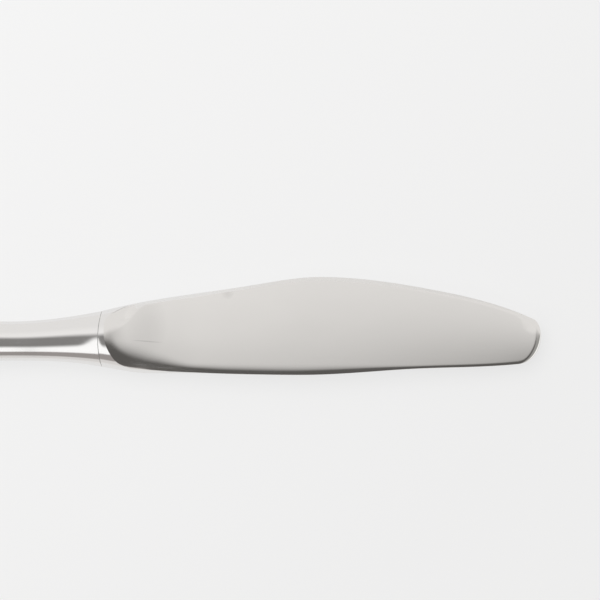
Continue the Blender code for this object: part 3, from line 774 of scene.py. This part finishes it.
def marks(tree, place, noise):
    """Noise from 0 to 1, stretched along each axis and turned in the knife's plane."""
    scale, detail, turn = noise
    mapped = add_node(tree, "Mapping", {"Vector": place, "Scale": scale, "Rotation": (0.0, 0.0, turn)})
    return add_node(tree, "TexNoise", {
        "Vector": mapped.outputs["Vector"], "Scale": 1.0, "Detail": detail}).outputs["Fac"]


def spread(tree, value, ends, span=NOISE_SPAN):
    """Span of a noise's values mapped onto the range between two ends."""
    return add_node(tree, "MapRange", {
        "Value": value, "From Min": span[0], "From Max": span[1],
        "To Min": ends[0], "To Max": ends[1]}).outputs["Result"]


def around(middle, changes):
    """Two ends of a range, each a change away from its middle."""
    return [middle + change for change in changes]


def shade(tree, value, colour, tones):
    """Colour that varies with a noise between two tones."""
    darker, lighter = tones
    mixed = add_node(tree, "Mix", data_type="RGBA")
    tree.links.new(value, mixed.inputs["Factor"])
    mixed.inputs["A"].default_value = (*(channel * darker for channel in colour), 1.0)
    mixed.inputs["B"].default_value = (*(min(1.0, channel * lighter) for channel in colour), 1.0)
    return mixed.outputs["Result"]


def bump(tree, height, relief, **under):
    """Normals of a relief that follows a height, on top of the normals under it."""
    strength, depth = relief
    return add_node(tree, "Bump", {
        "Strength": strength, "Distance": depth, "Height": height, **under}).outputs["Normal"]


def dress(tree, shader, colour, roughness, normals):
    """Give a shader its colour, roughness and relief."""
    for name, output in (("Base Color", colour), ("Roughness", roughness), ("Normal", normals)):
        tree.links.new(output, shader.inputs[name])


def wear_and_shade_mark(tree, place, mark, turn, depth):
    """Depth of a dark mark, wear and painted shade alike, which fades from its middle to its rim."""
    along, across, half_length, half_width = mark
    mapped = add_node(tree, "Mapping", {
        "Vector": place, "Location": (ORIGIN[0] + along, ORIGIN[1] + across, ORIGIN[2]),
        "Rotation": (0.0, 0.0, turn), "Scale": (half_length, half_width, half_length)}, vector_type="TEXTURE")
    ball = add_node(tree, "TexGradient", {"Vector": mapped.outputs["Vector"]}, gradient_type="SPHERICAL")
    return spread(tree, ball.outputs["Fac"], (0.0, depth), MARK_SPAN)


def add_finish(name, metallic):
    """New material, with its node tree, its shader and the place on the piece."""
    material = bpy.data.materials.new(name)
    material.use_nodes = True
    tree = material.node_tree
    shader = tree.nodes["Principled BSDF"]
    shader.inputs["Metallic"].default_value = metallic
    return material, tree, shader, add_node(tree, "TexCoord").outputs["Object"]


def satin_steel(finish):
    """Ground blade: fine lines along its length, stray scratches, faint smudges, two marks of use and a
    painted shade near the heel.
    """
    material, tree, shader, place = add_finish("satin_steel", 1.0)
    lines = marks(tree, place, SATIN_LINES)
    smudges = marks(tree, place, SATIN_SMUDGES)
    scratched = spread(tree, marks(tree, place, STRAY_SCRATCHES), (0.0, 1.0), SCRATCH_SPAN)
    roughness = add_node(tree, "Math", {
        0: spread(tree, smudges, around(finish.satin_roughness, SMUDGES_ADD)),
        1: spread(tree, lines, SATIN_LINES_ADD)})
    height = add_node(tree, "Math", {0: lines, 1: scratched}, operation="SUBTRACT")
    # The dull spot is wear; the heel mark is painted shade on the flats near the heel
    dull_spot_and_heel_shade = add_node(tree, "Math", {
        0: wear_and_shade_mark(tree, place, DULL_SPOT, 0.0, DULL_DEPTH),
        1: wear_and_shade_mark(tree, place, HEEL_PAINTED_SHADE, 0.0, HEEL_SHADE_DEPTH)})
    wear_and_painted_shade = add_node(tree, "Math", {
        0: wear_and_shade_mark(tree, place, SCRATCH, SCRATCH_TURN, SCRATCH_DEPTH), 1: dull_spot_and_heel_shade.outputs[0]})
    # Colour darkened towards black by the scratch and dull spot, and by the painted shade near the heel
    colour = add_node(tree, "Mix", {"B": (0.0, 0.0, 0.0, 1.0)}, data_type="RGBA")
    tree.links.new(wear_and_painted_shade.outputs[0], colour.inputs["Factor"])
    tree.links.new(shade(tree, lines, finish.satin_colour, SATIN_TONES), colour.inputs["A"])
    dress(
        tree, shader, colour.outputs["Result"], roughness.outputs[0],
        bump(tree, height.outputs[0], SATIN_RELIEF))
    tangent = add_node(tree, "Tangent", direction_type="UV_MAP", uv_map="grain")
    tree.links.new(tangent.outputs["Tangent"], shader.inputs["Tangent"])
    shader.inputs["Anisotropic"].default_value = finish.satin_grain
    return material


def polished_steel(finish):
    """Buffed handle and bolster: a mirror with hairlines, buffing ripples and a soft haze."""
    material, tree, shader, place = add_finish("polished_steel", 1.0)
    hairlines = marks(tree, place, POLISH_HAIRLINES)
    ripples = marks(tree, place, POLISH_RIPPLES)
    haze = marks(tree, place, POLISH_HAZE)
    roughness = add_node(tree, "Math", {
        0: spread(tree, haze, around(finish.polish_roughness, POLISH_HAZE_ADD)),
        1: spread(tree, hairlines, HAIRLINES_ADD, HAIRLINE_SPAN)})
    fine = bump(tree, hairlines, HAIRLINE_RELIEF)
    dress(
        tree, shader, shade(tree, haze, finish.polish_colour, POLISH_TONES), roughness.outputs[0],
        bump(tree, ripples, RIPPLE_RELIEF, Normal=fine))
    return material


def ground_edge(finish):
    """Bevel along the edge: short grinding lines across it and small bright nicks."""
    material, tree, shader, place = add_finish("ground_edge", 1.0)
    lines = marks(tree, place, GRINDING_LINES)
    nicks = marks(tree, place, GRINDING_NICKS)
    dress(
        tree, shader, shade(tree, nicks, finish.edge_colour, GRINDING_TONES),
        spread(tree, lines, around(finish.edge_roughness, GRINDING_ADD)),
        bump(tree, lines, GRINDING_RELIEF))
    return material


def seam_solder(finish):
    """Buffed solder in the seam, a little duller and more pitted than the shells."""
    material, tree, shader, place = add_finish("seam_solder", 1.0)
    pits = marks(tree, place, SOLDER_PITS)
    drags = marks(tree, place, SOLDER_DRAGS)
    dress(
        tree, shader, shade(tree, drags, finish.solder_colour, SOLDER_TONES),
        spread(tree, pits, SOLDER_BLUR), bump(tree, pits, SOLDER_RELIEF))
    return material


def handle_cement(finish):
    """Set cement: gritty, matt and a little uneven in colour."""
    material, tree, shader, place = add_finish("handle_cement", 0.0)
    grit = marks(tree, place, CEMENT_GRIT)
    patches = marks(tree, place, CEMENT_PATCHES)
    dress(
        tree, shader, shade(tree, patches, finish.cement_colour, CEMENT_TONES),
        spread(tree, grit, CEMENT_BLUR), bump(tree, grit, CEMENT_RELIEF))
    return material


def below(tree, angle, border, soft):
    """1 where an angle lies below a border and 0 above it, with a soft change between."""
    return add_node(tree, "MapRange", {
        "Value": angle, "From Min": border - soft, "From Max": border + soft,
        "To Min": 1.0, "To Max": 0.0}, interpolation_type="SMOOTHSTEP").outputs["Result"]


def blend_light(tree, share, first, second):
    """Light that changes from the first tone to the second with a share."""
    mixed = add_node(tree, "Mix", {"A": first, "B": second}, data_type="RGBA")
    tree.links.new(share, mixed.inputs["Factor"])
    return mixed.outputs["Result"]


def hang_panels(tree, to_tip, to_edge, panels):
    """Open light with panels hung in front of it."""
    light = (*OPEN_LIGHT, 1.0)
    for tone, (tip_weight, edge_weight), border, soft in panels:
        across = add_node(tree, "Math", {0: to_edge, 1: edge_weight}, operation="MULTIPLY")
        angle = add_node(tree, "Math", {
            0: to_tip, 1: tip_weight, 2: across.outputs[0]}, operation="MULTIPLY_ADD")
        light = blend_light(tree, below(tree, angle.outputs[0], border, soft), light, (*tone, 1.0))
    return light


def light_studio():
    """Soft room of light over the knife, with the panels that its steel mirrors."""
    world = bpy.data.worlds.new("studio")
    world.use_nodes = True
    bpy.context.scene.world = world
    tree = world.node_tree
    way = add_node(tree, "SeparateXYZ", {"Vector": add_node(tree, "TexCoord").outputs["Generated"]})
    rise = add_node(tree, "Math", {0: way.outputs["X"]}, operation="ARCSINE")
    turn = add_node(tree, "Math", {0: way.outputs["Y"], 1: way.outputs["Z"]}, operation="ARCTAN2")
    to_tip = add_node(tree, "Math", {0: rise.outputs[0]}, operation="DEGREES").outputs[0]
    to_edge = add_node(tree, "Math", {0: turn.outputs[0]}, operation="DEGREES").outputs[0]
    to_butt = add_node(tree, "Math", {0: to_tip, 1: FAR_LEAN}, operation="MAXIMUM").outputs[0]
    light = blend_light(
        tree, below(tree, to_tip, HANDLE_SIDE, HANDLE_SIDE_SOFT),
        hang_panels(tree, to_tip, to_edge, BLADE_PANELS), hang_panels(tree, to_butt, to_edge, HANDLE_PANELS))
    low = below(tree, way.outputs["Z"], HORIZON, HORIZON_SOFT)
    tree.links.new(blend_light(tree, low, light, (*FAR_WALL, 1.0)), tree.nodes["Background"].inputs["Color"])


def glow_paper(tree, shader, place, stage):
    """Pale glow of the paper wherever it is seen or mirrored, which leaves a part of the knife's shadow."""
    rays = add_node(tree, "LightPath").outputs
    seen = add_node(tree, "Math", {0: rays["Is Camera Ray"], 1: rays["Is Glossy Ray"]}, operation="MAXIMUM")
    seen = add_node(tree, "Math", {0: seen.outputs[0], 1: rays["Is Transmission Ray"]}, operation="MAXIMUM")
    share = add_node(tree, "Math", {0: seen.outputs[0], 1: stage.glow_share}, operation="MULTIPLY")
    spot = add_node(tree, "SeparateXYZ", {"Vector": place})
    away = add_node(tree, "Math", {0: spot.outputs["X"], 1: spot.outputs["Y"]}, operation="SUBTRACT")
    level = add_node(tree, "MapRange", {
        "Value": away.outputs[0], "From Min": -GLOW_REACH, "From Max": GLOW_REACH,
        "To Min": stage.glow_near, "To Max": stage.glow_far})
    glow = add_node(tree, "Emission", {"Strength": level.outputs["Result"]})
    mixed = add_node(tree, "MixShader", {
        0: share.outputs[0], 1: shader.outputs["BSDF"], 2: glow.outputs["Emission"]})
    tree.links.new(mixed.outputs["Shader"], tree.nodes["Material Output"].inputs["Surface"])


class KNIFE_OT_forge_blade(bpy.types.Operator):
    """Draw out the tang, spigot, bolster and blade in one forging"""

    bl_idname = "dinner_knife.forge_blade"
    bl_label = "Forge Blade"

    def execute(self, context):
        sizes = context.scene.knife_sizes
        finish = context.scene.knife_finish
        shares = height_shares()
        polished = np.concatenate((
            tang_rows(sizes, shares), spigot_rows(sizes, shares), bolster_rows(sizes, shares)))
        rings = both_sides(np.concatenate((polished, blade_rows(sizes, shares))))
        piece = draw_out("forged_blade", rings)
        for material in (polished_steel(finish), satin_steel(finish), ground_edge(finish)):
            piece.data.materials.append(material)
        lay_grain(piece, rings)
        part_finishes(piece, sizes, shares, len(polished) - 1)
        close_up(piece)
        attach(piece, "root")
        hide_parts("blade")
        return {"FINISHED"}


class KNIFE_OT_press_shells(bpy.types.Operator):
    """Press the front and back shells of the handle"""

    bl_idname = "dinner_knife.press_shells"
    bl_label = "Press Shells"

    def execute(self, context):
        sizes = context.scene.knife_sizes
        steel = bpy.data.materials.get("polished_steel") or polished_steel(context.scene.knife_finish)
        angles = np.linspace(0.0, math.pi, ARC_POINTS)
        for name, side in (("front", 1.0), ("back", -1.0)):
            outer = wall_rows(sizes, 0.0, side, angles)
            inner = wall_rows(sizes, sizes.wall, side, angles)
            rings = np.concatenate((outer, inner[:, ::-1]), axis=1)
            piece = draw_out(name + "_shell", rings)
            piece.data.materials.append(steel)
            close_up(piece)
            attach(piece, "root")
            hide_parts(name + "_handle_shell")
        return {"FINISHED"}


class KNIFE_OT_run_solder(bpy.types.Operator):
    """Run solder into the seam between the shells"""

    bl_idname = "dinner_knife.run_solder"
    bl_label = "Run Solder"

    def execute(self, context):
        sizes = context.scene.knife_sizes
        half = SEAM / 2.0 * SEAM_FILL
        walls = [wall_rows(sizes, inset, 1.0, np.array((0.0, math.pi))) for inset in (0.0, sizes.wall)]
        outer, inner = [np.concatenate((wall[:, 0], wall[-2::-1, 1])) for wall in walls]
        corners = ((outer, half), (outer, 0.0), (outer, -half), (inner, -half), (inner, 0.0), (inner, half))
        rings = np.stack([line for line, _ in corners], axis=1)
        rings[..., 2] = [height for _, height in corners]
        piece = draw_out("seam_bead", rings)
        piece.data.materials.append(seam_solder(context.scene.knife_finish))
        close_up(piece)
        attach(piece, "root")
        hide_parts("seam_solder")
        return {"FINISHED"}


class KNIFE_OT_set_cement(bpy.types.Operator):
    """Give the handle's filling its finish"""

    bl_idname = "dinner_knife.set_cement"
    bl_label = "Set Cement"

    def execute(self, context):
        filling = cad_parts["tang_cement"].data
        filling.materials.clear()
        filling.materials.append(handle_cement(context.scene.knife_finish))
        return {"FINISHED"}


class KNIFE_OT_set_stage(bpy.types.Operator):
    """Lay the floor, light the studio and place the camera straight above the blade"""

    bl_idname = "dinner_knife.set_stage"
    bl_label = "Set Stage"

    def execute(self, context):
        stage = context.scene.knife_stage
        bpy.ops.object.select_all(action="DESELECT")
        bpy.ops.mesh.primitive_plane_add(size=stage.floor_size, location=(0.0, 0.0, CAD_BOX[0].z))
        floor = context.object
        floor.name = "floor"
        bpy.ops.object.transform_apply(location=True)
        paper, tree, shader, place = add_finish("floor_paper", 0.0)
        mottle = marks(tree, place, PAPER_MOTTLE)
        tree.links.new(shade(tree, mottle, stage.floor_colour, PAPER_TONES), shader.inputs["Base Color"])
        shader.inputs["Roughness"].default_value = 1.0
        shader.inputs["Specular IOR Level"].default_value = 0.0
        glow_paper(tree, shader, place, stage)
        floor.data.materials.append(paper)

        light_studio()
        bpy.ops.object.light_add(type="AREA", location=LAMP_PLACE)
        lamp = context.object
        lamp.name = "soft_lamp"
        lamp.rotation_euler = LAMP_TURN
        lamp.data.size = stage.lamp_size
        lamp.data.energy = stage.lamp_power
        lamp.visible_glossy = False

        bpy.ops.object.camera_add(location=(
            ORIGIN[0] + stage.picture_x, ORIGIN[1] + stage.picture_y, ORIGIN[2] + stage.camera_height))
        camera = context.object
        camera.data.lens = camera.data.sensor_width * stage.camera_height / stage.picture_width
        camera.data.clip_start = CAMERA_NEAR
        context.scene.camera = camera
        context.scene.view_settings.view_transform = "Standard"
        return {"FINISHED"}


class KNIFE_PT_dinner_knife(bpy.types.Panel):
    """Lists the knife's pieces, sizes and finishes"""

    bl_label = "Dinner Knife"
    bl_idname = "KNIFE_PT_dinner_knife"
    bl_space_type = "VIEW_3D"
    bl_region_type = "UI"
    bl_category = "Knife"

    def draw(self, context):
        layout = self.layout
        for operator in OPERATORS:
            layout.operator(operator.bl_idname)
        for group in ("knife_sizes", "knife_finish", "knife_stage"):
            box = layout.box()
            values = getattr(context.scene, group)
            for name in values.__annotations__:
                box.prop(values, name)


GROUPS = (KnifeSizes, KnifeFinish, KnifeStage)
OPERATORS = (
    KNIFE_OT_forge_blade, KNIFE_OT_press_shells, KNIFE_OT_run_solder, KNIFE_OT_set_cement, KNIFE_OT_set_stage)


def register():
    """Add the classes and the knife's settings."""
    for added in GROUPS + OPERATORS + (KNIFE_PT_dinner_knife,):
        bpy.utils.register_class(added)
    bpy.types.Scene.knife_sizes = bpy.props.PointerProperty(type=KnifeSizes)
    bpy.types.Scene.knife_finish = bpy.props.PointerProperty(type=KnifeFinish)
    bpy.types.Scene.knife_stage = bpy.props.PointerProperty(type=KnifeStage)


def unregister():
    """Remove the settings and the classes."""
    del bpy.types.Scene.knife_stage
    del bpy.types.Scene.knife_finish
    del bpy.types.Scene.knife_sizes
    for added in reversed(GROUPS + OPERATORS + (KNIFE_PT_dinner_knife,)):
        bpy.utils.unregister_class(added)


def main():
    """Register the tools and make every piece."""
    register()
    bpy.ops.dinner_knife.forge_blade()
    bpy.ops.dinner_knife.press_shells()
    bpy.ops.dinner_knife.run_solder()
    bpy.ops.dinner_knife.set_cement()
    bpy.ops.dinner_knife.set_stage()


if __name__ == "__main__":
    main()
